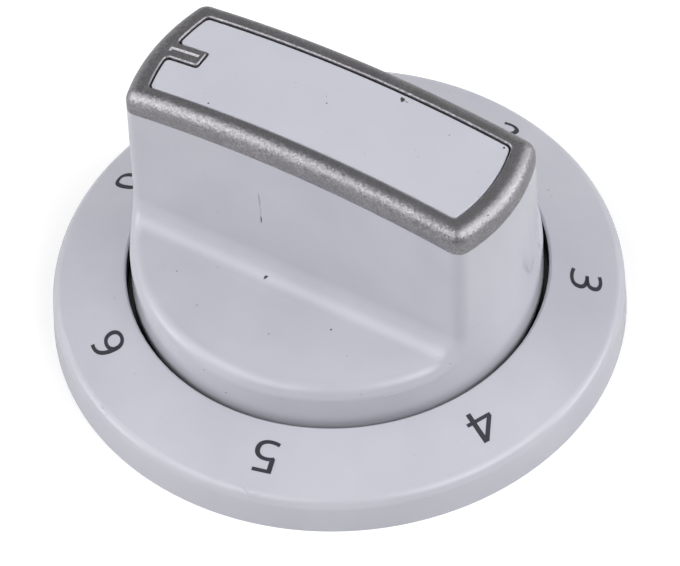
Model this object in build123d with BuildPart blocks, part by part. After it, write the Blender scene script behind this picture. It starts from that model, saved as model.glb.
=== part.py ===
from build123d import *
import os
from math import asin, cos, degrees, radians, sqrt, tan

# Control knob for an oven's selector switch, in millimetres.
# A white knob turns in the hole of a white dial ring, which stays still on the cooker's fascia.
# Z is the axis of the switch shaft and points away from the fascia, where Z = 0.
# The pointer end of the grip lies towards +Y, at the dial's zero.

os.makedirs("parts", exist_ok=True)

# Drum and grip of the knob
drum_diameter = 42.9      # at its foot
drum_draft = 0.7          # degrees
foot_height = 0.8         # from the fascia up to the drum's foot
shelf_height = 11.65
grip_width = 15.4         # at the crest
grip_draft = 1.0          # degrees
grip_foot_fillet = 2.8
corner_round = 1.65
crest_height = 30.65
crest_radius = 126.0
shoulder_round = 1.65
knob_wall = 1.9
flange_reach = 1.95       # beyond the drum
flange_thickness = 1.4
flange_play = 0.55        # below the ring's lip

# Dial ring
hole_play = 0.5           # round the drum
face_width = 8.05         # from the edge of the hole out to the rim
ring_height = 6.85        # from the fascia to the edge of the hole
ring_fall = 19.3          # degrees that the face falls towards the rim
ring_draft = 3.0          # degrees that the rim leans in
ring_edge_round = 1.3
ring_hole_round = 0.25
ring_wall = 1.8
lip_thickness = 1.9       # at the edge of the hole
collar_play = 0.6         # round the flange
collar_wall = 1.2
rib_count = 8
rib_thickness = 1.0
rib_setback = 0.8         # from the fascia up to the ribs' feet
notch_count = 3
notch_width = 2.6
notch_height = 1.4

# Silver frame and white panel
frame_depth = 2.45
frame_side = 2.13         # from the window out to the grip's side
frame_end = 2.3           # from the window out to the grip's end
window_corner = 0.6
panel_gap = 0.15
panel_sink = 0.2          # below the frame
panel_thickness = 1.6
panel_edge_round = 0.2
window_edge_round = 0.25
tongue_width = 2.1
tongue_length = 3.75
tongue_root_round = 0.5
tongue_tip_round = 0.35
groove_width = 0.62
groove_depth = 0.18
groove_length = 3.5
groove_inset = 0.45       # from the tongue's tip
groove_slope = 45.0       # degrees
frame_peg = 1.0
frame_peg_length = 1.8
frame_peg_reach = 28.0    # between pegs along the grip
panel_peg = 2.0
panel_peg_length = 1.8
panel_peg_reach = 18.0
peg_clearance = 0.05
plinth_gap = 0.1          # between the frame's window and the body's plinth

# Hub, ribs and shaft clip
deck_thickness = 2.6      # under the frame
hub_diameter = 12.0
hub_height = 2.0          # from the fascia up to the hub's foot
web_thickness = 1.2
web_height = 4.0          # from the fascia up to the webs' feet
room_corner = 1.5
shaft_diameter = 6.0
shaft_across_flat = 4.6
shaft_clearance = 0.05
bore_depth = 18.0
neck_clearance = 0.25
neck_length = 4.0         # round stretch of the bore at its mouth
clip_thickness = 0.5
clip_width = 3.4
clip_leg_long = 8.0
clip_leg_short = 5.0
clip_clearance = 0.1
saddle_thickness = 1.2

drum_radius = drum_diameter / 2
hole_radius = drum_radius + hole_play
rim_radius = hole_radius + face_width
flange_radius = drum_radius + flange_reach
collar_radius = flange_radius + collar_play
window_width = grip_width - 2 * frame_side
window_length = drum_diameter - 2 * ((crest_height - foot_height) * tan(radians(drum_draft)) + frame_end)
fall = tan(radians(ring_fall))
lean = tan(radians(ring_draft))
beyond = 2 * rim_radius   # longer than any cut


def face_height(radius):
    # Height of the ring's conical face at a radius.
    return ring_height - (radius - hole_radius) * fall


def crest_drop(reach):
    # How far the arched top has fallen at a distance from the middle of the grip.
    return crest_radius - sqrt(crest_radius**2 - reach**2)


# Dial ring: a conical face with a rounded rim, hollow behind, on a collar and a rim wall
edge_height = (ring_height - (rim_radius - hole_radius) * fall) / (1 - lean * fall)
edge_radius = rim_radius - edge_height * lean
skin = ring_wall / cos(radians(ring_fall))
collar_outside = collar_radius + collar_wall
channel_rim = rim_radius - ring_wall
channel_top = (face_height(channel_rim) - skin) / (1 - lean * fall)
rib_near = collar_outside - collar_wall / 2
rib_far = channel_rim + ring_wall / 2

with BuildPart() as ring_ribs:
    with BuildSketch(Plane.XZ):
        with BuildLine():
            Polyline(
                (rib_near, rib_setback),
                (rib_far, rib_setback),
                (rib_far, face_height(rib_far) - skin / 2),
                (rib_near, face_height(rib_near) - skin / 2),
                close=True,
            )
        make_face()
    revolve(axis=Axis.Z)
    with BuildSketch():
        with PolarLocations(collar_radius + beyond / 2, rib_count, start_angle=180 / rib_count):
            Rectangle(beyond, rib_thickness)
    extrude(amount=ring_height, mode=Mode.INTERSECT)

with BuildPart() as dial_ring:
    with BuildSketch(Plane.XZ):
        with BuildLine():
            Polyline(
                (hole_radius, 0),
                (rim_radius, 0),
                (edge_radius, edge_height),
                (hole_radius, ring_height),
                close=True,
            )
        make_face()
        fillet(vertices().sort_by_distance((edge_radius, edge_height, 0))[0], ring_edge_round)
        fillet(vertices().sort_by_distance((hole_radius, ring_height, 0))[0], ring_hole_round)
    revolve(axis=Axis.Z)
    with BuildSketch(Plane.XZ):
        with BuildLine():
            Polyline(
                (collar_outside, 0),
                (channel_rim, 0),
                (channel_rim - channel_top * lean, channel_top),
                (collar_outside, face_height(collar_outside) - skin),
                close=True,
            )
        make_face()
    revolve(axis=Axis.Z, mode=Mode.SUBTRACT)
    with BuildSketch():
        Circle(collar_radius)
    extrude(amount=ring_height - lip_thickness, mode=Mode.SUBTRACT)
    add(ring_ribs.part)
    with PolarLocations(collar_radius + collar_wall / 2, notch_count, start_angle=90):
        Box(3 * collar_wall, notch_width, 2 * notch_height, mode=Mode.SUBTRACT)

dial_ring.part.label = "dial_ring"
export_step(dial_ring.part, "parts/dial_ring.step")


def above_crest(drop):
    # Side view of the space above the grip's arched top, lowered by drop.
    half_angle = degrees(asin(drum_diameter / crest_radius))
    with BuildSketch(Plane.YZ) as space:
        with BuildLine():
            arch = CenterArc(
                (0, crest_height - drop - crest_radius), crest_radius, 90 - half_angle, 2 * half_angle
            )
            Polyline(
                arch @ 1,
                (-drum_diameter, 2 * crest_height),
                (drum_diameter, 2 * crest_height),
                arch @ 0,
            )
        make_face()
    return space.sketch


def window_outline(inset):
    # The frame's window seen from above, cut out round the pointer tongue and pulled in by inset.
    end = window_length / 2
    with BuildSketch(Plane.XY.offset(crest_height / 2)) as window:
        Circle(end - inset)
        Rectangle(window_width - 2 * inset, beyond, mode=Mode.INTERSECT)
        with Locations((0, end - tongue_length - inset)):
            Rectangle(
                tongue_width + 2 * inset,
                2 * tongue_length,
                align=(Align.CENTER, Align.MIN),
                mode=Mode.SUBTRACT,
            )
        halfway = end - tongue_length / 2
        fillet(
            vertices().filter_by(lambda v: abs(v.X) < tongue_width and v.Y < halfway),
            tongue_tip_round,
        )
        fillet(
            vertices().filter_by(lambda v: abs(v.X) < tongue_width and v.Y > halfway),
            tongue_root_round,
        )
        fillet(vertices().filter_by(lambda v: abs(v.X) > tongue_width), window_corner)
    return window.sketch


# Outer form that the knob and its frame share: a drum with a tall grip left standing across it
with BuildPart() as outer_form:
    with BuildSketch(Plane.XY.offset(foot_height)):
        Circle(drum_radius)
    extrude(amount=crest_height, taper=drum_draft)
    extrude(above_crest(0), amount=beyond, both=True, mode=Mode.SUBTRACT)
    grip_foot = grip_width / 2 + (crest_height - shelf_height) * tan(radians(grip_draft))
    grip_top = grip_width / 2 - crest_height * tan(radians(grip_draft))
    with BuildSketch(Plane.XZ):
        with BuildLine():
            Polyline(
                (grip_foot, shelf_height),
                (beyond, shelf_height),
                (beyond, 2 * crest_height),
                (grip_top, 2 * crest_height),
                close=True,
            )
        make_face()
        fillet(vertices().sort_by_distance((grip_foot, shelf_height, 0))[0], grip_foot_fillet)
        mirror(about=Plane.YZ)
    extrude(amount=beyond, both=True, mode=Mode.SUBTRACT)
    rims = edges().filter_by(
        lambda e: shelf_height - 1 < e.center().Z < crest_height - 4
        and sqrt(e.center().X ** 2 + e.center().Y ** 2) > drum_radius - 2
    )
    fillet(rims, corner_round)
    fillet(faces().sort_by(Axis.Z)[-1].outer_wire().edges(), shoulder_round)

# Trim frame: the silver top of the grip, open round the panel, with the grooved pointer tongue
groove_middle = window_length / 2 - tongue_length + groove_inset + groove_length / 2
groove_top = crest_height - crest_drop(groove_middle)
groove_plane = Plane(
    origin=(0, groove_middle, groove_top),
    x_dir=(1, 0, 0),
    z_dir=(0, groove_middle, crest_radius - crest_drop(groove_middle)),
)
frame_peg_across = (window_width + grip_width) / 4
frame_peg_places = [
    (side * frame_peg_across, end * frame_peg_reach / 2) for side in (-1, 1) for end in (-1, 1)
]
frame_seat = crest_height - frame_depth - crest_drop(frame_peg_reach / 2)

with BuildPart() as frame_room:
    with BuildSketch(Plane.XY.offset(shelf_height)):
        Circle(drum_diameter)
    extrude(amount=crest_height)
    extrude(above_crest(frame_depth), amount=beyond, both=True, mode=Mode.INTERSECT)

with BuildPart() as trim_frame:
    add(outer_form.part)
    add(frame_room.part, mode=Mode.INTERSECT)
    extrude(window_outline(0), amount=crest_height, mode=Mode.SUBTRACT)
    fillet(faces().sort_by(Axis.Z)[-1].inner_wires()[0].edges(), window_edge_round)
    with BuildSketch(groove_plane):
        Rectangle(groove_width, groove_length)
    extrude(amount=-groove_depth, taper=groove_slope, mode=Mode.SUBTRACT)
    with BuildSketch(Plane.XY.offset(frame_seat - frame_peg_length)):
        with Locations(*frame_peg_places):
            Circle(frame_peg / 2)
    extrude(amount=frame_peg_length + frame_depth / 2)

trim_frame.part.label = "trim_frame"
export_step(trim_frame.part, "parts/trim_frame.step")

# Top panel: an arched white insert in the frame's window, on two pegs
panel_seat = panel_sink + panel_thickness
panel_peg_top = crest_height - panel_seat - crest_drop(panel_peg_reach / 2)

with BuildPart() as top_panel:
    extrude(window_outline(panel_gap), amount=crest_height)
    extrude(above_crest(panel_seat), amount=beyond, both=True, mode=Mode.INTERSECT)
    extrude(above_crest(panel_sink), amount=beyond, both=True, mode=Mode.SUBTRACT)
    fillet(faces().sort_by(Axis.Z)[-1].outer_wire().edges(), panel_edge_round)
    with BuildSketch(Plane.XY.offset(panel_peg_top - panel_peg_length)):
        with GridLocations(0, panel_peg_reach, 1, 2):
            Circle(panel_peg / 2)
    extrude(amount=panel_peg_length + panel_thickness / 2)

top_panel.part.label = "top_panel"
export_step(top_panel.part, "parts/top_panel.step")

# Knob body: the drum and the white part of the grip, hollow behind, with a hub on crossed webs
flange_top = ring_height - lip_thickness - flange_play
room_radius = drum_radius - knob_wall
room_width = grip_width + 2 * (crest_height - foot_height) * tan(radians(grip_draft)) - 2 * knob_wall
bore_radius = shaft_diameter / 2 + shaft_clearance
neck_radius = shaft_diameter / 2 + neck_clearance
flat_reach = shaft_across_flat - shaft_diameter / 2 + shaft_clearance
neck_top = hub_height + neck_length
saddle_near = flat_reach + clip_thickness + clip_clearance
saddle_far = saddle_near + saddle_thickness
leg_far = saddle_far + 2 * clip_clearance + clip_thickness
bow_radius = (saddle_thickness + clip_thickness) / 2 + clip_clearance
saddle_foot = neck_top + clip_clearance + clip_thickness / 2 + bow_radius
pocket_width = clip_width + 2 * clip_clearance

with BuildPart() as plinth:
    extrude(window_outline(plinth_gap), amount=crest_height)
    extrude(above_crest(panel_seat), amount=beyond, both=True, mode=Mode.SUBTRACT)

with BuildPart() as knob_room:
    with BuildSketch(Plane.XY.offset(foot_height)):
        Circle(room_radius)
    extrude(amount=shelf_height - knob_wall - foot_height, taper=drum_draft)
    with BuildSketch(Plane.XY.offset(foot_height)):
        Circle(room_radius)
        Rectangle(room_width, beyond, mode=Mode.INTERSECT)
        fillet(vertices(), room_corner)
    extrude(amount=crest_height, taper=grip_draft)
    extrude(above_crest(frame_depth + deck_thickness), amount=beyond, both=True, mode=Mode.SUBTRACT)
    with BuildSketch(Plane.XY.offset(hub_height)):
        Circle(hub_diameter / 2)
    extrude(amount=crest_height, mode=Mode.SUBTRACT)
    with BuildSketch(Plane.XY.offset(web_height)):
        Rectangle(web_thickness, drum_diameter)
        Rectangle(drum_diameter, web_thickness)
    extrude(amount=crest_height, mode=Mode.SUBTRACT)

with BuildPart() as knob_body:
    add(outer_form.part)
    add(frame_room.part, mode=Mode.SUBTRACT)
    add(plinth.part)
    with BuildSketch(Plane.XY.offset(flange_top - flange_thickness)):
        Circle(flange_radius)
    extrude(amount=flange_thickness)
    add(knob_room.part, mode=Mode.SUBTRACT)
    with BuildSketch(Plane.XY.offset(frame_seat - frame_peg_length - peg_clearance)):
        with Locations(*frame_peg_places):
            Circle(frame_peg / 2 + peg_clearance)
    extrude(amount=crest_height, mode=Mode.SUBTRACT)
    with BuildSketch(Plane.XY.offset(panel_peg_top - panel_peg_length - peg_clearance)):
        with GridLocations(0, panel_peg_reach, 1, 2):
            Circle(panel_peg / 2 + peg_clearance)
    extrude(amount=crest_height, mode=Mode.SUBTRACT)
    with BuildSketch(Plane.XY.offset(hub_height)):
        Circle(neck_radius)
    extrude(amount=neck_length, mode=Mode.SUBTRACT)
    with BuildSketch(Plane.XY.offset(hub_height)):
        Circle(bore_radius)
        with Locations((0, flat_reach)):
            Rectangle(
                shaft_diameter,
                shaft_diameter,
                align=(Align.CENTER, Align.MIN),
                mode=Mode.SUBTRACT,
            )
    extrude(amount=bore_depth, mode=Mode.SUBTRACT)
    with BuildSketch(Plane.XY.offset(hub_height)):
        Rectangle(pocket_width, leg_far, align=(Align.CENTER, Align.MIN))
    extrude(amount=saddle_foot - hub_height, mode=Mode.SUBTRACT)
    with BuildSketch(Plane.XY.offset(saddle_foot)):
        Rectangle(pocket_width, saddle_near, align=(Align.CENTER, Align.MIN))
    extrude(amount=clip_leg_long + clip_clearance, mode=Mode.SUBTRACT)
    with BuildSketch(Plane.XY.offset(saddle_foot)):
        with Locations((0, saddle_far)):
            Rectangle(pocket_width, leg_far - saddle_far, align=(Align.CENTER, Align.MIN))
    extrude(amount=clip_leg_short + clip_clearance, mode=Mode.SUBTRACT)

knob_body.part.label = "knob_body"
export_step(knob_body.part, "parts/knob_body.step")

# Shaft clip: a U of spring steel over the saddle beside the bore, its long leg on the shaft's flat
with BuildPart() as shaft_clip:
    with BuildSketch(Plane.YZ):
        with BuildLine() as leaf:
            long_leg = Line(
                (flat_reach + clip_thickness / 2, saddle_foot + clip_leg_long),
                (flat_reach + clip_thickness / 2, saddle_foot),
            )
            bow = JernArc(long_leg @ 1, long_leg % 1, bow_radius, 180)
            Line(bow @ 1, bow @ 1 + Vector(0, clip_leg_short))
        trace(line_width=clip_thickness)
    extrude(amount=clip_width / 2, both=True)

shaft_clip.part.label = "shaft_clip"
export_step(shaft_clip.part, "parts/shaft_clip.step")
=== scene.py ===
import math

import bpy
import numpy as np
from mathutils import Matrix, Vector


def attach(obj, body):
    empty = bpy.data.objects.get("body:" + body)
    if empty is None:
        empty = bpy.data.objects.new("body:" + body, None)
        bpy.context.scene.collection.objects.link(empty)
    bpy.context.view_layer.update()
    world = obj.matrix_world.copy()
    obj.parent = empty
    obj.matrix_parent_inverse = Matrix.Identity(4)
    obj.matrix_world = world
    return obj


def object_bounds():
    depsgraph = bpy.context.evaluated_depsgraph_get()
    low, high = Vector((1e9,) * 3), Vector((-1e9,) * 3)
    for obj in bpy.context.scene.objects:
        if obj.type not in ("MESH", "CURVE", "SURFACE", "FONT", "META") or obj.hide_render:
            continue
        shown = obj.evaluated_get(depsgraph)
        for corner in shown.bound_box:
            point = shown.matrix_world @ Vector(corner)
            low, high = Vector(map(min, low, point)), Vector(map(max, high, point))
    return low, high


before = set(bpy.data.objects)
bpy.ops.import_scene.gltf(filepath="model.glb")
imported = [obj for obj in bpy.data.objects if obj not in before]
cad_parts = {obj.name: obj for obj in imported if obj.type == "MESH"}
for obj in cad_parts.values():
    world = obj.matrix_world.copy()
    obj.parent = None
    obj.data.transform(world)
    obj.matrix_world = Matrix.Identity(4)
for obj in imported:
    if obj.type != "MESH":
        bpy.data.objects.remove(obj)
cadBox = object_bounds()
mm = 0.001
print("frame loaded:", ", ".join(sorted(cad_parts)))

# small helpers


def toLinear(code):
    # an sRGB hex colour as linear red, green, blue and alpha
    parts = [int(code[i:i + 2], 16) / 255 for i in (0, 2, 4)]
    return [p / 12.92 if p <= 0.04045 else ((p + 0.055) / 1.055) ** 2.4 for p in parts] + [1.0]


def addNode(tree, kind, settings=None, links=None):
    # settings name a socket or a property, links name a socket and what feeds it
    node = tree.nodes.new(kind)
    for key, value in (settings or {}).items():
        if isinstance(key, int) or key in node.inputs:
            node.inputs[key].default_value = value
        else:
            setattr(node, key, value)
    for key, socket in (links or {}).items():
        tree.links.new(socket, node.inputs[key])
    return node


def newMaterial(name):
    material = bpy.data.materials.new(name)
    material.use_nodes = True
    material.node_tree.nodes.clear()
    return material, material.node_tree


def paint(obj, material):
    obj.data.materials.clear()
    obj.data.materials.append(material)


# materials: the white mouldings

polishedAbs = {
    "ring": {"light": "c6c6cf", "dull": "bfbfc9", "rough": 0.09, "gap": (0.0, 22.05, 6.62)},
    "knob": {"light": "c4c4ce", "dull": "bdbdc7", "rough": 0.07, "gap": (20.9, 24.0, 5.6)},
    "panel": {"light": "c7c8d2", "dull": "c2c3cd", "rough": 0.2, "gap": (0.0, 0.0, 0.0)},
    "dust": "8d8b8c",
    # near black: the painted shade in the gap between knob and ring
    "paintedGapShade": "17161a",
    "hazeSize": 9.0,         # mm, patches of handling haze
    "wipeSize": 1.6,         # mm, fine uneven gloss
    "peelSize": 0.9,         # mm, the faint ripple a polished mould leaves
    "dustSize": 0.22,        # mm, clusters of dust grains
    "gapFloor": 4.3,         # mm above the fascia, the knob's flange; the shaft side of it gets no painted shade
    "gapFade": 0.5,          # mm over which the painted shade in the gap thins out upwards
    "noiseSpan": (0.3, 0.7),         # the part of a noise that is stretched over the whole range
    "dustSpan": (0.76, 0.82),        # noise above this is a grain of dust
    "dustCover": 0.6,        # how much of the white a grain hides
    "glossSpread": (-0.02, 0.04),    # round the roughness
    "peelStrength": 0.05,
    "peelDepth": 0.02,       # mm
}


def makePolishedAbs(part):
    # white ABS from a polished mould: a cool white with a clear gloss, faint haze and a little dust,
    # and near-black painted shade down in the deep gap between knob and ring, where shade falls
    look = polishedAbs[part]
    low, high = polishedAbs["noiseSpan"]
    material, tree = newMaterial("polished white ABS, " + part)
    place = addNode(tree, "ShaderNodeTexCoord").outputs["Object"]
    haze = addNode(tree, "ShaderNodeTexNoise",
                   {"Scale": 1 / (polishedAbs["hazeSize"] * mm), "Detail": 2.0, "Roughness": 0.5},
                   {"Vector": place})
    hazeLevel = addNode(tree, "ShaderNodeMapRange", {"From Min": low, "From Max": high},
                        {0: haze.outputs[0]})
    plastic = addNode(tree, "ShaderNodeMix",
                      {"data_type": "RGBA", 6: toLinear(look["light"]), 7: toLinear(look["dull"])},
                      {0: hazeLevel.outputs[0]})
    grains = addNode(tree, "ShaderNodeTexNoise",
                     {"Scale": 1 / (polishedAbs["dustSize"] * mm), "Detail": 1.0}, {"Vector": place})
    dust = addNode(tree, "ShaderNodeMapRange",
                   {"From Min": polishedAbs["dustSpan"][0], "From Max": polishedAbs["dustSpan"][1],
                    "To Max": polishedAbs["dustCover"]},
                   {0: grains.outputs[0]})
    dusty = addNode(tree, "ShaderNodeMix", {"data_type": "RGBA", 7: toLinear(polishedAbs["dust"])},
                    {0: dust.outputs[0], 6: plastic.outputs[2]})
    # painted shade in the gap: a mask between near and far reach, above the flange, fading out below top
    near, far, top = (size * mm for size in look["gap"])
    split = addNode(tree, "ShaderNodeSeparateXYZ", links={0: place})
    across = addNode(tree, "ShaderNodeCombineXYZ", links={0: split.outputs[0], 1: split.outputs[1]})
    reach = addNode(tree, "ShaderNodeVectorMath", {"operation": "LENGTH"}, {0: across.outputs[0]})
    outside = addNode(tree, "ShaderNodeMath", {"operation": "GREATER_THAN", 1: near},
                      {0: reach.outputs["Value"]})
    inside = addNode(tree, "ShaderNodeMath", {"operation": "LESS_THAN", 1: far},
                     {0: reach.outputs["Value"]})
    above = addNode(tree, "ShaderNodeMath",
                    {"operation": "GREATER_THAN", 1: polishedAbs["gapFloor"] * mm}, {0: split.outputs[2]})
    below = addNode(tree, "ShaderNodeMapRange",
                    {"From Min": top, "From Max": top - polishedAbs["gapFade"] * mm},
                    {0: split.outputs[2]})
    gap = below.outputs[0]
    for limit in (outside, inside, above):
        gap = addNode(tree, "ShaderNodeMath", {"operation": "MULTIPLY"},
                      {0: gap, 1: limit.outputs[0]}).outputs[0]
    # painted shade: inside the gap the plastic's colour is mixed towards near black
    colour = addNode(tree, "ShaderNodeMix", {"data_type": "RGBA", 7: toLinear(polishedAbs["paintedGapShade"])},
                     {0: gap, 6: dusty.outputs[2]})
    wipe = addNode(tree, "ShaderNodeTexNoise",
                   {"Scale": 1 / (polishedAbs["wipeSize"] * mm), "Detail": 3.0}, {"Vector": place})
    gloss = addNode(tree, "ShaderNodeMapRange",
                    {"From Min": low, "From Max": high,
                     "To Min": look["rough"] + polishedAbs["glossSpread"][0],
                     "To Max": look["rough"] + polishedAbs["glossSpread"][1]},
                    {0: wipe.outputs[0]})
    peel = addNode(tree, "ShaderNodeTexNoise",
                   {"Scale": 1 / (polishedAbs["peelSize"] * mm), "Detail": 2.0}, {"Vector": place})
    ripple = addNode(tree, "ShaderNodeBump",
                     {"Strength": polishedAbs["peelStrength"], "Distance": polishedAbs["peelDepth"] * mm},
                     {"Height": peel.outputs[0]})
    shader = addNode(tree, "ShaderNodeBsdfPrincipled", {"IOR": 1.5},
                     {"Base Color": colour.outputs[2], "Roughness": gloss.outputs[0],
                      "Normal": ripple.outputs[0]})
    addNode(tree, "ShaderNodeOutputMaterial", links={0: shader.outputs[0]})
    return material


silverLacquer = {
    "dark": "8c8a8e",
    "bright": "b8b6ba",
    "rough": 0.42,
    "flakeSize": 0.14,       # mm, drawn coarser than real flake so that it shows
    "flakeTilt": 0.2,        # how far single flakes lean
    "cloudSize": 2.5,        # mm, uneven spraying
    "coat": 0.15,            # a thin clear coat over the flakes
    "coatRough": 0.25,
}


def makeSilverLacquer():
    # metal-flake lacquer sprayed on plastic: grey flakes at odd tilts, so that a lit edge sparkles
    material, tree = newMaterial("silver metal-flake lacquer")
    place = addNode(tree, "ShaderNodeTexCoord").outputs["Object"]
    flakes = addNode(tree, "ShaderNodeTexVoronoi", {"Scale": 1 / (silverLacquer["flakeSize"] * mm)},
                     {"Vector": place})
    lean = addNode(tree, "ShaderNodeVectorMath", {"operation": "SUBTRACT", 1: (0.5, 0.5, 0.5)},
                   {0: flakes.outputs["Color"]})
    tilt = addNode(tree, "ShaderNodeVectorMath", {"operation": "SCALE", "Scale": silverLacquer["flakeTilt"]},
                   {0: lean.outputs[0]})
    surface = addNode(tree, "ShaderNodeNewGeometry")
    leaning = addNode(tree, "ShaderNodeVectorMath", {"operation": "ADD"},
                      {0: surface.outputs["Normal"], 1: tilt.outputs[0]})
    normal = addNode(tree, "ShaderNodeVectorMath", {"operation": "NORMALIZE"}, {0: leaning.outputs[0]})
    shade = addNode(tree, "ShaderNodeSeparateColor", links={0: flakes.outputs["Color"]})
    cloud = addNode(tree, "ShaderNodeTexNoise",
                    {"Scale": 1 / (silverLacquer["cloudSize"] * mm), "Detail": 3.0}, {"Vector": place})
    level = addNode(tree, "ShaderNodeMath", {"operation": "MULTIPLY"},
                    {0: shade.outputs[1], 1: cloud.outputs[0]})
    metal = addNode(tree, "ShaderNodeMix",
                    {"data_type": "RGBA", 6: toLinear(silverLacquer["dark"]),
                     7: toLinear(silverLacquer["bright"])},
                    {0: level.outputs[0]})
    shader = addNode(tree, "ShaderNodeBsdfPrincipled",
                     {"Metallic": 1.0, "Roughness": silverLacquer["rough"],
                      "Coat Weight": silverLacquer["coat"], "Coat Roughness": silverLacquer["coatRough"]},
                     {"Base Color": metal.outputs[2], "Normal": normal.outputs[0]})
    addNode(tree, "ShaderNodeOutputMaterial", links={0: shader.outputs[0]})
    return material


springStrip = {
    "metal": "a3a4a6",
    "stain": "8a8580",
    "grainWidth": 0.05,      # mm, drawing lines along the strip
    "grainStretch": 0.04,    # their width as a share of their length
    "rough": 0.28,
    "glossSpread": (-0.08, 0.12),    # round the roughness
    "lineStrength": 0.3,
    "lineDepth": 0.01,       # mm
}


def makeSpringSteel():
    # rolled and hardened spring steel: grey with fine lines along the strip and a trace of straw tint
    material, tree = newMaterial("rolled spring steel")
    place = addNode(tree, "ShaderNodeTexCoord").outputs["Object"]
    stretch = addNode(tree, "ShaderNodeMapping",
                      {"Scale": (1.0, springStrip["grainStretch"], springStrip["grainStretch"])},
                      {"Vector": place})
    grain = addNode(tree, "ShaderNodeTexNoise",
                    {"Scale": 1 / (springStrip["grainWidth"] * mm), "Detail": 3.0},
                    {"Vector": stretch.outputs[0]})
    colour = addNode(tree, "ShaderNodeMix",
                     {"data_type": "RGBA", 6: toLinear(springStrip["metal"]),
                      7: toLinear(springStrip["stain"])},
                     {0: grain.outputs[0]})
    gloss = addNode(tree, "ShaderNodeMapRange",
                    {"To Min": springStrip["rough"] + springStrip["glossSpread"][0],
                     "To Max": springStrip["rough"] + springStrip["glossSpread"][1]},
                    {0: grain.outputs[0]})
    lines = addNode(tree, "ShaderNodeBump",
                    {"Strength": springStrip["lineStrength"], "Distance": springStrip["lineDepth"] * mm},
                    {"Height": grain.outputs[0]})
    shader = addNode(tree, "ShaderNodeBsdfPrincipled", {"Metallic": 1.0},
                     {"Base Color": colour.outputs[2], "Roughness": gloss.outputs[0],
                      "Normal": lines.outputs[0]})
    addNode(tree, "ShaderNodeOutputMaterial", links={0: shader.outputs[0]})
    return material


padInk = {
    "ink": "232830",
    "thin": "2f343c",
    "patchSize": 0.5,        # mm, uneven ink
    "rough": (0.35, 0.55),
}


def makePadInk():
    # pad-printed ink: a flat slate film, a little thinner in patches
    material, tree = newMaterial("pad-printed slate ink")
    place = addNode(tree, "ShaderNodeTexCoord").outputs["Object"]
    patch = addNode(tree, "ShaderNodeTexNoise",
                    {"Scale": 1 / (padInk["patchSize"] * mm), "Detail": 4.0}, {"Vector": place})
    colour = addNode(tree, "ShaderNodeMix",
                     {"data_type": "RGBA", 6: toLinear(padInk["ink"]), 7: toLinear(padInk["thin"])},
                     {0: patch.outputs[0]})
    gloss = addNode(tree, "ShaderNodeMapRange",
                    {"To Min": padInk["rough"][0], "To Max": padInk["rough"][1]}, {0: patch.outputs[0]})
    shader = addNode(tree, "ShaderNodeBsdfPrincipled", {"IOR": 1.5},
                     {"Base Color": colour.outputs[2], "Roughness": gloss.outputs[0]})
    addNode(tree, "ShaderNodeOutputMaterial", links={0: shader.outputs[0]})
    return material


paint(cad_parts["dial_ring"], makePolishedAbs("ring"))
paint(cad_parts["knob_body"], makePolishedAbs("knob"))
paint(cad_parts["top_panel"], makePolishedAbs("panel"))
paint(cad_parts["trim_frame"], makeSilverLacquer())
paint(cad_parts["shaft_clip"], makeSpringSteel())
print("materials on the five solids")

# the numbers on the dial: strokes of an oblong pen on the ring's conical face

ringFace = {
    "holeRadius": 21.95,     # mm
    "holeHeight": 6.85,      # mm above the fascia at the edge of the hole
    "fall": math.radians(19.3),
}

numbers = {
    "step": 360 / 7,         # degrees, clockwise from the zero at +Y
    "zeroAngle": 91.3,       # degrees round from +X
    "footRadius": 23.95,     # mm from the axis to the foot of a number
    "printShift": (0.085, -0.192),   # mm, how far the print sits off the ring's centre
    "penWide": 0.26,         # mm, half the width of an upright stroke
    "penHigh": 0.18,         # mm, half the height of a level stroke
    "inkHeight": 0.025,      # mm above the plastic
    "inkDepth": 0.03,        # mm below it, out of sight
    "pointsPerCurve": 20,
}

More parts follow.
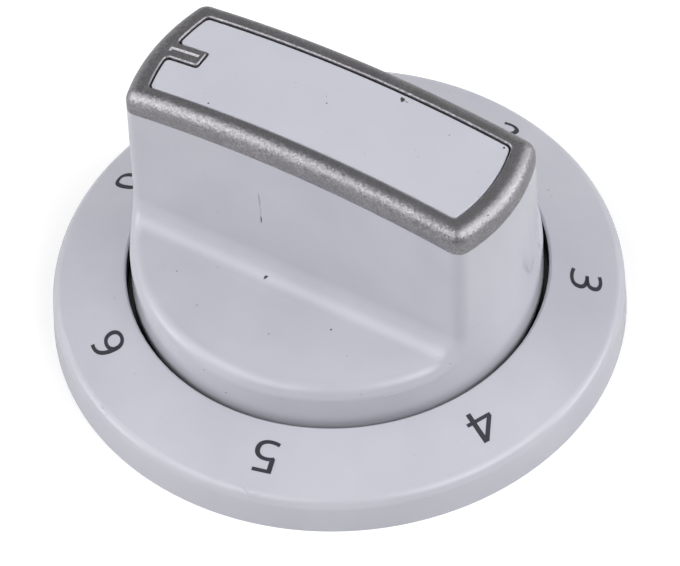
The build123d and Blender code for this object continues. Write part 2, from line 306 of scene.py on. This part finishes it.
# each stroke is a chain of cubic curves, in mm: across and up from the middle of the number's foot
strokes = {
    0: [
        [[(-0.93, 1.65), (-0.93, 2.95), (-0.5, 3.13), (0.0, 3.13)],
         [(0.0, 3.13), (0.5, 3.13), (0.93, 2.95), (0.93, 1.65)],
         [(0.93, 1.65), (0.93, 0.35), (0.5, 0.17), (0.0, 0.17)],
         [(0.0, 0.17), (-0.5, 0.17), (-0.93, 0.35), (-0.93, 1.65)]],
    ],
    1: [
        [[(-0.62, 2.62), (-0.3, 2.78), (-0.05, 2.95), (0.2, 3.2)]],
        [[(0.2, 3.28), (0.2, 2.2), (0.2, 1.1), (0.2, 0.0)]],
    ],
    2: [
        [[(-0.95, 2.82), (-0.2, 3.38), (0.83, 3.3), (0.83, 2.42)],
         [(0.83, 2.42), (0.83, 1.7), (-0.3, 0.95), (-0.9, 0.17)],
         [(-0.9, 0.17), (-0.3, 0.17), (0.4, 0.17), (1.08, 0.17)]],
    ],
    3: [
        [[(-0.58, 2.98), (0.2, 3.3), (1.2, 3.15), (1.2, 2.5)],
         [(1.2, 2.5), (1.2, 1.95), (0.75, 1.76), (-0.3, 1.74)]],
        [[(-0.3, 1.74), (0.75, 1.76), (1.3, 1.55), (1.3, 0.98)],
         [(1.3, 0.98), (1.3, 0.2), (0.2, -0.02), (-0.9, 0.32)]],
    ],
    4: [
        [[(0.55, 0.0), (0.55, 1.1), (0.55, 2.2), (0.55, 3.28)]],
        [[(0.42, 3.18), (-0.2, 2.4), (-0.8, 1.7), (-1.38, 1.0)]],
        [[(-1.5, 0.98), (-0.6, 0.98), (0.4, 0.98), (1.32, 0.98)]],
    ],
    5: [
        [[(0.88, 3.12), (0.3, 3.12), (-0.4, 3.12), (-0.92, 3.12)]],
        [[(-0.9, 3.28), (-0.91, 2.8), (-0.92, 2.3), (-0.93, 1.75)]],
        [[(-1.1, 1.78), (-0.3, 2.08), (0.86, 1.95), (0.86, 1.08)],
         [(0.86, 1.08), (0.86, 0.15), (-0.35, 0.02), (-1.27, 0.33)]],
    ],
    6: [
        [[(-1.13, 1.0), (-1.13, 2.05), (-0.75, 3.33), (0.84, 3.07)]],
        [[(-1.13, 1.0), (-1.13, 2.1), (0.93, 2.1), (0.93, 1.0)],
         [(0.93, 1.0), (0.93, -0.1), (-1.13, -0.1), (-1.13, 1.0)]],
    ],
}


def curvePoints(chain):
    # cubic curves end to end: B(t) = (1-t)^3 a + 3t(1-t)^2 b + 3t^2(1-t) c + t^3 d
    t = np.linspace(0, 1, numbers["pointsPerCurve"])[:, None]
    runs = []
    for a, b, c, d in np.array(chain, float):
        runs.append(a * (1 - t) ** 3 + 3 * b * t * (1 - t) ** 2 + 3 * c * t ** 2 * (1 - t) + d * t ** 3)
    return np.vstack([runs[0]] + [run[1:] for run in runs[1:]])


def penEdges(line):
    # the pen is an oblong nib: half its width across a heading is the root of (wide nx)^2 + (high ny)^2
    along = np.gradient(line, axis=0)
    along /= np.linalg.norm(along, axis=1)[:, None]
    across = np.stack([-along[:, 1], along[:, 0]], 1)
    half = np.hypot(numbers["penWide"] * across[:, 0], numbers["penHigh"] * across[:, 1])[:, None]
    return line + across * half, line - across * half


def ontoRing(points, angle, lift):
    # a number's flat drawing, its foot towards the axis, dropped onto the cone and lifted by lift
    out = np.array([math.cos(angle), math.sin(angle)])
    clockwise = np.array([out[1], -out[0]])
    flat = points[:, :1] * clockwise + (points[:, 1:] + numbers["footRadius"]) * out + numbers["printShift"]
    reach = np.hypot(flat[:, 0], flat[:, 1])
    height = ringFace["holeHeight"] - (reach - ringFace["holeRadius"]) * math.tan(ringFace["fall"]) + lift
    return np.column_stack([flat, height]) * mm


def makeNumbers():
    # each stroke is a low closed bar: four edge lines joined by a grid of quads, with its ends closed
    points, faces = [], []
    for number, drawing in strokes.items():
        angle = math.radians(numbers["zeroAngle"] - number * numbers["step"])
        for chain in drawing:
            left, right = penEdges(curvePoints(chain))
            low, high = -numbers["inkDepth"], numbers["inkHeight"]
            rails = [ontoRing(left, angle, low), ontoRing(left, angle, high),
                     ontoRing(right, angle, high), ontoRing(right, angle, low)]
            count = len(left)
            first = sum(len(p) for p in points)
            points.append(np.vstack(rails))
            step = np.arange(count - 1)
            for rail in range(4):
                a, b = first + rail * count, first + (rail + 1) % 4 * count
                faces.append(np.stack([a + step, a + step + 1, b + step + 1, b + step], 1))
            ends = first + np.arange(4) * count
            faces.append(np.array([ends, (ends + count - 1)[::-1]]))
    mesh = bpy.data.meshes.new("dial_numbers")
    mesh.from_pydata(np.vstack(points).tolist(), [], np.vstack(faces).tolist())
    mesh.validate()
    obj = bpy.data.objects.new("dial_numbers", mesh)
    bpy.context.scene.collection.objects.link(obj)
    return obj


dialNumbers = makeNumbers()
paint(dialNumbers, makePadInk())
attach(dialNumbers, "dial")
print("numbers printed on the dial")

# marks of use: specks of burnt fat, a dash, scratches on the grip and a smudge on the panel

marks = {
    "rise": 0.012,           # mm, how far a mark's middle stands off the plastic
    "sink": 0.01,            # mm, how deep its rim goes
    "core": 0.6,             # share of a mark's reach that is fully dark
    "corners": 18,
    "wobble": (0.18, 0.12),  # three broad and five smaller lobes round the rim
    "outside": 80,           # mm, from where a line is sent in to find the surface
    # solid, seen from, place in mm (x, y from above; y, z from the side; degrees, z round the drum),
    # half length, half width, heading in degrees, darkness
    "spots": [
        ("top_panel", "above", (4.75, -5.8), 0.4, 0.3, 35, 0.95),
        ("top_panel", "above", (4.7, -6.3), 0.3, 0.09, 80, 0.6),
        ("top_panel", "above", (1.4, 4.7), 0.1, 0.08, 0, 0.5),
        ("top_panel", "above", (1.3, 1.0), 0.09, 0.08, 0, 0.55),
        ("top_panel", "above", (0.5, 0.5), 0.13, 0.11, 0, 0.8),
        ("top_panel", "above", (5.0, -17.4), 0.17, 0.15, 0, 1.0),
        ("top_panel", "above", (3.3, -12.1), 0.11, 0.1, 0, 0.7),
        ("top_panel", "above", (-0.8, -10.9), 0.12, 0.1, 0, 0.4),
        ("top_panel", "above", (-5.0, 11.1), 0.15, 0.12, 0, 1.0),
        ("trim_frame", "above", (-5.9, 10.2), 0.14, 0.11, 20, 0.9),
        ("trim_frame", "above", (-6.6, 8.6), 0.12, 0.09, 0, 0.9),
        ("trim_frame", "above", (-3.1, -20.3), 0.13, 0.11, 0, 1.0),
        ("knob_body", "side", (3.75, 22.2), 1.3, 0.13, 94, 0.4),
        ("knob_body", "side", (3.65, 20.6), 0.9, 0.08, 92, 0.25),
        ("knob_body", "side", (3.65, 19.3), 0.65, 0.12, 90, 0.85),
        ("knob_body", "side", (9.0, 17.4), 0.14, 0.12, 0, 0.45),
        ("knob_body", "side", (-7.2, 15.4), 0.12, 0.1, 0, 0.4),
        ("knob_body", "above", (-9.15, 2.67), 0.5, 0.2, 149, 1.0),
        ("knob_body", "above", (-11.5, -6.5), 0.17, 0.14, 0, 0.95),
        ("knob_body", "above", (-15.1, -1.3), 0.14, 0.12, 0, 0.6),
        ("knob_body", "above", (-15.5, 7.1), 0.24, 0.2, 0, 0.3),
        ("knob_body", "above", (-10.2, 7.9), 0.12, 0.1, 0, 0.45),
        ("knob_body", "above", (-12.7, 11.3), 0.14, 0.12, 0, 0.6),
        ("knob_body", "above", (-12.5, 12.9), 0.2, 0.1, 40, 0.25),
        ("knob_body", "above", (-13.6, -9.7), 0.1, 0.08, 0, 0.6),
        ("knob_body", "round", (172.7, 9.95), 0.13, 0.11, 0, 0.7),
        ("knob_body", "round", (179.7, 8.05), 0.14, 0.12, 0, 0.8),
        ("knob_body", "round", (211.3, 8.65), 0.1, 0.08, 0, 0.5),
        ("knob_body", "round", (218.3, 10.75), 0.1, 0.08, 0, 0.5),
        ("knob_body", "round", (244.4, 11.4), 0.1, 0.08, 0, 0.6),
        ("dial_ring", "above", (-15.3, 17.7), 0.14, 0.1, 0, 0.35),
        ("dial_ring", "above", (-22.4, 10.6), 0.1, 0.09, 0, 0.4),
        ("dial_ring", "above", (-26.8, 11.8), 0.16, 0.08, 60, 0.4),
        ("dial_ring", "above", (-27.3, 11.1), 0.12, 0.08, 60, 0.4),
        ("dial_ring", "above", (19.9, -13.8), 0.2, 0.12, 70, 0.4),
        ("dial_ring", "above", (19.2, -14.5), 0.22, 0.1, 110, 0.3),
        ("dial_ring", "above", (-28.6, -6.7), 0.8, 0.1, 70, 0.16),
        ("dial_ring", "above", (-28.4, -7.6), 0.6, 0.08, 120, 0.14),
    ],
}

burntFat = {
    "dark": "1d1a1b",
    "brown": "3a2e28",
    "grainSize": 0.06,       # mm
    "rough": 0.35,
}


def makeBurntFat():
    # dried, burnt cooking fat: nearly black, brown in grains, and faded out to the white at its rim
    material, tree = newMaterial("dried burnt fat")
    place = addNode(tree, "ShaderNodeTexCoord").outputs["Object"]
    grain = addNode(tree, "ShaderNodeTexNoise",
                    {"Scale": 1 / (burntFat["grainSize"] * mm), "Detail": 2.0}, {"Vector": place})
    crust = addNode(tree, "ShaderNodeMix",
                    {"data_type": "RGBA", 6: toLinear(burntFat["dark"]), 7: toLinear(burntFat["brown"])},
                    {0: grain.outputs[0]})
    cover = addNode(tree, "ShaderNodeAttribute", {"attribute_name": "cover"})
    colour = addNode(tree, "ShaderNodeMix",
                     {"data_type": "RGBA", 6: toLinear(polishedAbs["knob"]["light"])},
                     {0: cover.outputs["Fac"], 7: crust.outputs[2]})
    shader = addNode(tree, "ShaderNodeBsdfPrincipled", {"IOR": 1.5, "Roughness": burntFat["rough"]},
                     {"Base Color": colour.outputs[2]})
    addNode(tree, "ShaderNodeOutputMaterial", links={0: shader.outputs[0]})
    return material


def touchPoint(solid, way, place):
    # where a straight line from outside meets the solid, and which way its surface faces there
    u, v = place
    far = marks["outside"]
    if way == "above":
        start, heading = Vector((u, v, far)), Vector((0, 0, -1))
    elif way == "side":
        start, heading = Vector((-far, u, v)), Vector((1, 0, 0))
    else:
        x, y = math.cos(math.radians(u)), math.sin(math.radians(u))
        start, heading = Vector((far * x, far * y, v)), Vector((-x, -y, 0))
    spot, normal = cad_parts[solid].ray_cast(start * mm, heading)[1:3]
    return np.array(spot), np.array(normal)


def makeMarks(name, solids):
    # a mark is a low lens: ring = spot + share x wobble x (long cos t, wide sin t), where wobble is
    # 1 + broad sin 3t + small sin (5t + 1), the outer ring sunk, the inner one and the middle raised,
    # and a second middle under the skin that closes it
    # cover is the darkness as far as the inner ring and falls to 0 at the outer one
    t = np.linspace(0, 2 * np.pi, marks["corners"], endpoint=False)
    count = len(t)
    broad, small = marks["wobble"]
    wobble = 1 + broad * np.sin(3 * t) + small * np.sin(5 * t + 1)
    outer = np.arange(count)
    after = np.roll(outer, -1)
    inner, top, bottom = outer + count, np.full(count, 2 * count), np.full(count, 2 * count + 1)
    pattern = np.vstack([np.stack(corners, 1) for corners in (
        (outer, after, inner), (after, after + count, inner),
        (inner, after + count, top), (after, outer, bottom))])
    points, faces, cover = [], [], []
    for solid, way, place, halfLong, halfWide, heading, darkness in marks["spots"]:
        if solid not in solids:
            continue
        spot, normal = touchPoint(solid, way, place)
        if way == "above":
            level = np.cross(np.cross(normal, (1, 0, 0)), normal)
        else:
            level = np.cross((0, 0, 1), normal)
        level /= np.linalg.norm(level)
        upright = np.cross(normal, level)
        a = math.radians(heading)
        along = level * math.cos(a) + upright * math.sin(a)
        aside = upright * math.cos(a) - level * math.sin(a)
        rim = ((wobble * halfLong * np.cos(t))[:, None] * along
               + (wobble * halfWide * np.sin(t))[:, None] * aside)
        faces.append(pattern + sum(len(p) for p in points))
        points.append(spot + mm * np.vstack([
            rim - marks["sink"] * normal, marks["core"] * rim + marks["rise"] * normal,
            marks["rise"] * normal, -2 * marks["sink"] * normal]))
        cover.append(np.concatenate([np.zeros(count), np.full(count + 1, darkness), [0.0]]))
    mesh = bpy.data.meshes.new(name)
    mesh.from_pydata(np.vstack(points).tolist(), [], np.vstack(faces).tolist())
    mesh.attributes.new("cover", "FLOAT", "POINT").data.foreach_set("value", np.concatenate(cover))
    mesh.validate()
    obj = bpy.data.objects.new(name, mesh)
    bpy.context.scene.collection.objects.link(obj)
    return obj


knobMarks = makeMarks("knob_marks", ("knob_body", "top_panel", "trim_frame"))
dialMarks = makeMarks("dial_marks", ("dial_ring",))
fat = makeBurntFat()
for obj, body in ((knobMarks, "knob"), (dialMarks, "dial")):
    paint(obj, fat)
    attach(obj, body)
print("marks of use on knob and dial")

# floor, light and camera

camera = {
    "aim": (1.43, 0.79, 1.38),       # mm
    "azimuth": -56.0,        # degrees, 0 looks along +Y
    "elevation": 49.78,
    "roll": 3.34,
    "distance": 523.6,       # mm
    "lens": 264.7,           # mm
    "sensor": 36.0,          # mm wide
    "clipStart": 0.01,       # m
}

studio = {
    "floorSize": 3.0,        # m
    "floor": "dbdbdb",
    "floorDrop": 0.02,       # mm under the ring's rim
    "floorLift": 0.42,       # white added for the camera alone, so the paper shows white round a shadow
    # each window: degrees right of the camera, degrees from overhead, degrees to its edge, strength
    "windows": [
        (90, 75, 28, 4.16),
        (-90, 75, 28, 4.1),
        (45, 45, 35, 3.6),
        (-45, 45, 35, 2.51),
        (-90, 45, 35, 2.17),
        (90, 45, 35, 2.14),
        (-120, 75, 28, 1.25),
        (120, 75, 28, 1.19),
        (150, 75, 28, 0.84),
        (-60, 75, 28, 0.78),
        (-150, 75, 28, 0.69),
        (180, 45, 35, 0.34),
        (180, 75, 28, 0.32),
        (0, 0, 35, 0.28),
    ],
}


def makeFloor():
    half = studio["floorSize"] / 2
    mesh = bpy.data.meshes.new("floor")
    level = cadBox[0].z - studio["floorDrop"] * mm
    corners = [(-half, -half, level), (half, -half, level), (half, half, level), (-half, half, level)]
    mesh.from_pydata(corners, [], [(0, 1, 2, 3)])
    obj = bpy.data.objects.new("floor", mesh)
    bpy.context.scene.collection.objects.link(obj)
    material, tree = newMaterial("white paper floor")
    paper = addNode(tree, "ShaderNodeBsdfDiffuse", {"Color": toLinear(studio["floor"])})
    path = addNode(tree, "ShaderNodeLightPath")
    lift = addNode(tree, "ShaderNodeMath", {"operation": "MULTIPLY", 1: studio["floorLift"]},
                   {0: path.outputs["Is Camera Ray"]})
    glow = addNode(tree, "ShaderNodeEmission", links={"Strength": lift.outputs[0]})
    both = addNode(tree, "ShaderNodeAddShader", links={0: paper.outputs[0], 1: glow.outputs[0]})
    addNode(tree, "ShaderNodeOutputMaterial", links={0: both.outputs[0]})
    paint(obj, material)


def makeTent():
    # soft windows round the object: light = the sum of strength x an eased fall from the window's middle
    world = bpy.data.worlds.new("light tent")
    bpy.context.scene.world = world
    world.use_nodes = True
    tree = world.node_tree
    tree.nodes.clear()
    way = addNode(tree, "ShaderNodeTexCoord").outputs["Generated"]
    sofar = {}
    for azimuth, overhead, edge, strength in studio["windows"]:
        a, z = math.radians(camera["azimuth"] + azimuth), math.radians(overhead)
        middle = (math.sin(a) * math.sin(z), -math.cos(a) * math.sin(z), math.cos(z))
        lined = addNode(tree, "ShaderNodeVectorMath", {"operation": "DOT_PRODUCT", 1: middle}, {0: way})
        angle = addNode(tree, "ShaderNodeMath", {"operation": "ARCCOSINE"}, {0: lined.outputs["Value"]})
        fade = addNode(tree, "ShaderNodeMapRange",
                       {"interpolation_type": "SMOOTHSTEP", "From Min": math.radians(edge),
                        "From Max": 0.0},
                       {0: angle.outputs[0]})
        total = addNode(tree, "ShaderNodeMath", {"operation": "MULTIPLY_ADD", 1: strength, 2: 0.0},
                        {0: fade.outputs[0], **sofar})
        sofar = {2: total.outputs[0]}
    light = addNode(tree, "ShaderNodeBackground", links={"Color": total.outputs[0]})
    white = addNode(tree, "ShaderNodeBackground", {"Color": (1, 1, 1, 1), "Strength": 1.0})
    path = addNode(tree, "ShaderNodeLightPath")
    shown = addNode(tree, "ShaderNodeMixShader", links={
        0: path.outputs["Is Camera Ray"], 1: light.outputs[0], 2: white.outputs[0]})
    addNode(tree, "ShaderNodeOutputWorld", links={0: shown.outputs[0]})


def makeCamera():
    a, e, roll = (math.radians(camera[key]) for key in ("azimuth", "elevation", "roll"))
    back = Vector((math.sin(a) * math.cos(e), -math.cos(a) * math.cos(e), math.sin(e)))
    level = Vector((math.cos(a), math.sin(a), 0))
    upright = back.cross(level)
    right = level * math.cos(roll) - upright * math.sin(roll)
    up = level * math.sin(roll) + upright * math.cos(roll)
    data = bpy.data.cameras.new("camera")
    data.lens = camera["lens"]
    data.sensor_width = camera["sensor"]
    data.clip_start = camera["clipStart"]
    obj = bpy.data.objects.new("camera", data)
    bpy.context.scene.collection.objects.link(obj)
    place = (Vector(camera["aim"]) + back * camera["distance"]) * mm
    turn = Matrix((right, up, back)).transposed().to_4x4()
    obj.matrix_world = Matrix.Translation(place) @ turn
    bpy.context.scene.camera = obj


makeFloor()
makeTent()
makeCamera()
bpy.context.scene.view_settings.view_transform = "Standard"
print("floor, light and camera set")
